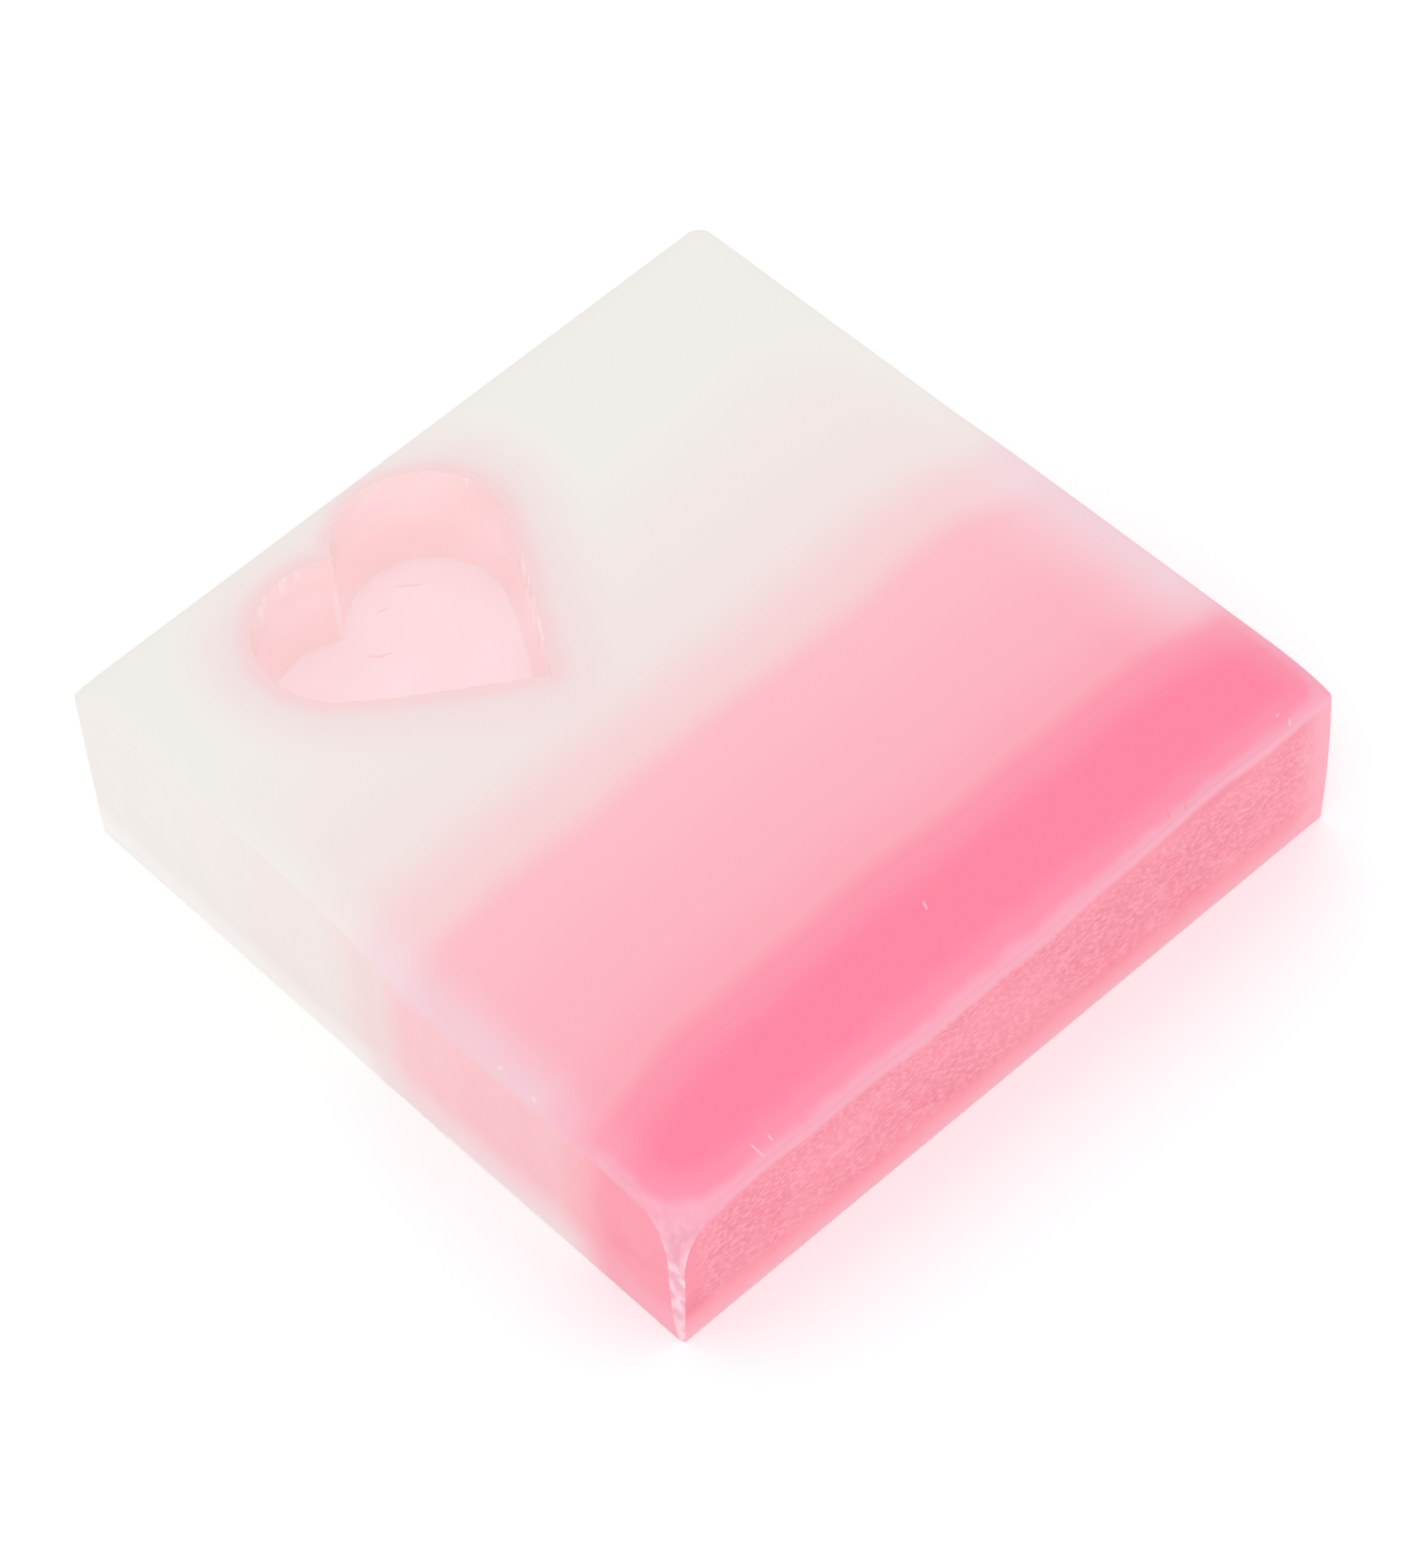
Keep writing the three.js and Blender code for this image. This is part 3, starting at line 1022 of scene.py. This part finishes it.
# %% Finish of a pour
def soap(name, roughness):
    """Opaque satin soap, coloured by its place in the loaf."""
    s = SoapShader(name)
    colour = wrinkled_end(s, poured_colour(s))
    colour = handling_marks(s, facet_and_crest_highlights(s, pale_edges(s, colour)))
    colour = heart_halo(s, colour)
    shader = s.node("ShaderNodeBsdfPrincipled")
    s.feed(shader.inputs["Base Color"], colour)
    patchy = s.fade(s.cloud(3.0, 4), 0.3, 0.7, roughness - 0.06, roughness + 0.08)
    s.feed(shader.inputs["Roughness"], patchy)
    shader.inputs["Specular IOR Level"].default_value = 0.4
    fibre_relief_and_highlight = s.times(fibre_noise(s), s.times(s.painted("grain_field"), 2.2))
    bump = s.node("ShaderNodeBump")
    bump.inputs["Strength"].default_value = 0.5
    bump.inputs["Distance"].default_value = 0.06 * MM
    s.feed(bump.inputs["Height"], s.sum(fibre_relief_and_highlight, s.times(s.cloud(0.5, 4), 0.25)))
    s.feed(shader.inputs["Normal"], bump.outputs[0])
    out = s.node("ShaderNodeOutputMaterial")
    s.feed(out.inputs["Surface"], shader.outputs[0])
    print(name, "uses", len(s.tree.nodes), "nodes")
    return s.material


for piece, finish in ((deep_piece, 0.42), (light_piece, 0.42), (white_piece, 0.4)):
    piece.data.materials.append(soap(piece.name + "_finish", finish))

# %% [markdown]
# ## Clear soap of the heart
#
# Clear soap is a little cloudy, so part of the light turns back at the surface and the rest
# goes through, bends, and shows the passage and the rod's own lower face. That lower face
# was smeared by the cutter, so it is hazy and closes the rod with colour.
#
# Light that is scattered by soap reaches the passage from all round. It is dear to trace
# through a bending surface, so the rod stands aside for it: the rod casts no shadow, and
# soft bounces inside the passage don't meet it. More bounces are allowed than usual,
# because a pale passage stays bright only when light can bounce in it many times.

# %% Clear soap
clearness = 0.82
haze_height = 0.3


def clear_soap(name):
    """Clear tinted soap with a hazy lower face."""
    s = Shader(name)
    haze = s.fade(s.z, haze_height, 0.02)
    clouds = s.fade(s.cloud(6.0, 2), 0.3, 0.7)
    cloudy = s.blend(clouds, paint(250, 244, 249), paint(250, 241, 246))
    scratches = s.strokes([
        (-16.0, 22.2, 3.0, 0.14, -37), (-9.0, 26.0, 3.2, 0.12, -37), (-12.5, 25.6, 1.4, 0.1, -20)])
    cloudy = s.layer(cloudy, paint(232, 190, 205), scratches, 0.6)
    colour = s.blend(haze, cloudy, paint(255, 252, 255))
    shader = s.node("ShaderNodeBsdfPrincipled")
    s.feed(shader.inputs["Base Color"], colour)
    clear = s.fade(s.cloud(9.0, 2), 0.3, 0.7, clearness - 0.04, clearness + 0.04)
    s.feed(shader.inputs["Transmission Weight"], s.times(clear, s.minus(1.0, haze)))
    shader.inputs["IOR"].default_value = 1.47
    s.feed(shader.inputs["Roughness"], s.fade(s.cloud(4.0, 3), 0.3, 0.7, 0.04, 0.12))
    out = s.node("ShaderNodeOutputMaterial")
    s.feed(out.inputs["Surface"], shader.outputs[0])
    return s.material


heart_piece.data.materials.append(clear_soap("heart_rod_finish"))
heart_piece.visible_shadow = False
heart_piece.visible_diffuse = False
bpy.context.scene.cycles.diffuse_bounces = 24
bpy.context.scene.cycles.max_bounces = 32

# %% [markdown]
# ## Floor, light and camera
#
# The slice lies on a plain white floor in soft light from all round. One large soft lamp
# stands low in front of it, and lifts the two upright faces, which see less of the sky.

# %% Floor
floor_reach = 6.0
floor_gap = 0.00003

floor_mesh = bpy.data.meshes.new("floor")
corners = [(x * floor_reach, y * floor_reach, 0) for x, y in ((-1, -1), (1, -1), (1, 1), (-1, 1))]
floor_mesh.from_pydata(corners, [], [(0, 1, 2, 3)])
floor = bpy.data.objects.new("floor", floor_mesh)
floor.location.z = cad_low.z - floor_gap
bpy.context.scene.collection.objects.link(floor)
floor_paint = Shader("floor_paint")
floor_shader = floor_paint.node("ShaderNodeBsdfDiffuse")
floor_shader.inputs["Color"].default_value = (0.99, 0.99, 0.99, 1)
floor_out = floor_paint.node("ShaderNodeOutputMaterial")
floor_paint.feed(floor_out.inputs["Surface"], floor_shader.outputs[0])
floor_mesh.materials.append(floor_paint.material)
print("floor reaches", floor_reach, "m each way")

# %% Room and lamp
world = bpy.data.worlds.new("soft_room")
world.use_nodes = True
world.node_tree.nodes["Background"].inputs["Color"].default_value = (1, 1, 1, 1)
world.node_tree.nodes["Background"].inputs["Strength"].default_value = 0.95 * high_key
bpy.context.scene.world = world

lamp_data = bpy.data.lights.new("soft_lamp", "AREA")
lamp_data.shape = "DISK"
lamp_data.size = 0.9
lamp_data.energy = 1.6 * high_key
lamp = bpy.data.objects.new("soft_lamp", lamp_data)
lamp.location = (-0.59, -0.83, 0.42)
lamp.rotation_euler = (-Vector(lamp.location)).to_track_quat("-Z", "Y").to_euler()
bpy.context.scene.collection.objects.link(lamp)
print("lamp stands", round(lamp.location.length, 2), "m from the slice")

# %% [markdown]
# ## Camera
#
# A long lens from over half a metre away keeps the slice's sides nearly parallel, as a
# picture of a small product usually does. The camera looks down on one corner of the slice
# and is rolled a little.

# %% Camera
camera_data = bpy.data.cameras.new("camera")
camera_data.lens = 174.4
camera_data.sensor_width = 36
camera = bpy.data.objects.new("camera", camera_data)
camera.location = (-0.25483, -0.30460, 0.52674)
camera.rotation_euler = [math.radians(angle) for angle in (37.236, 2.738, -43.646)]
bpy.context.scene.collection.objects.link(camera)
bpy.context.scene.camera = camera
bpy.context.scene.view_settings.view_transform = "Standard"
print("camera stands", round(camera.location.length, 2), "m from the slice")
